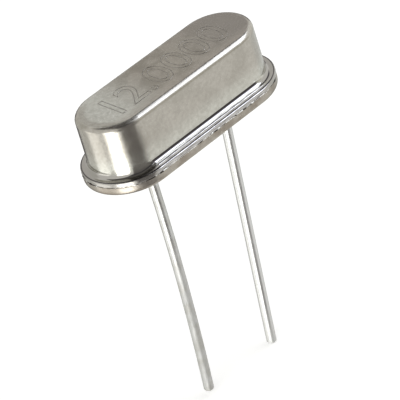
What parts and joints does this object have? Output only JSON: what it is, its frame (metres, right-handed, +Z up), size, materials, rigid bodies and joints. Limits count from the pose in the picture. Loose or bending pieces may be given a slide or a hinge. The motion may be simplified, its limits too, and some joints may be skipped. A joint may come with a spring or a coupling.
{
  "type": "crystal oscillator",
  "caption": "Low-profile quartz crystal sealed in a drawn metal can with round ends and a welded flange, on wire leads that leave through glass beads.",
  "frame": {"origin": "middle of the base's underside, midway between the leads, on the board's surface", "axes": "+Z up out of the board, through the can's top; +X along the body, from the left lead to the right lead; the leads hang along -Z"},
  "size_m": [0.011, 0.0044, 0.0171],
  "materials": {
    "can_metal": "satin nickel plate with a fine mottle from drawing",
    "base_metal": "satin, slightly warmer than the can",
    "sealing_glass": "dark glossy bead",
    "tinned_wire": "dipped tin, satin with soft ripples",
    "clip_metal": "rolled ribbon",
    "quartz": "clear, lapped",
    "silver_film": "evaporated silver",
    "conductive_adhesive": "silver-filled, dull"
  },
  "bodies": {
    "root": {"can": "can_metal", "base_shell": "base_metal", "glass_seal_left": "sealing_glass", "glass_seal_right": "sealing_glass", "lead_left": "tinned_wire", "lead_right": "tinned_wire", "spring_clip_left": "clip_metal", "spring_clip_right": "clip_metal", "quartz_blank": "quartz", "electrode_top": "silver_film", "electrode_bottom": "silver_film", "bond_left": "conductive_adhesive", "bond_right": "conductive_adhesive"}
  },
  "joints": []
}
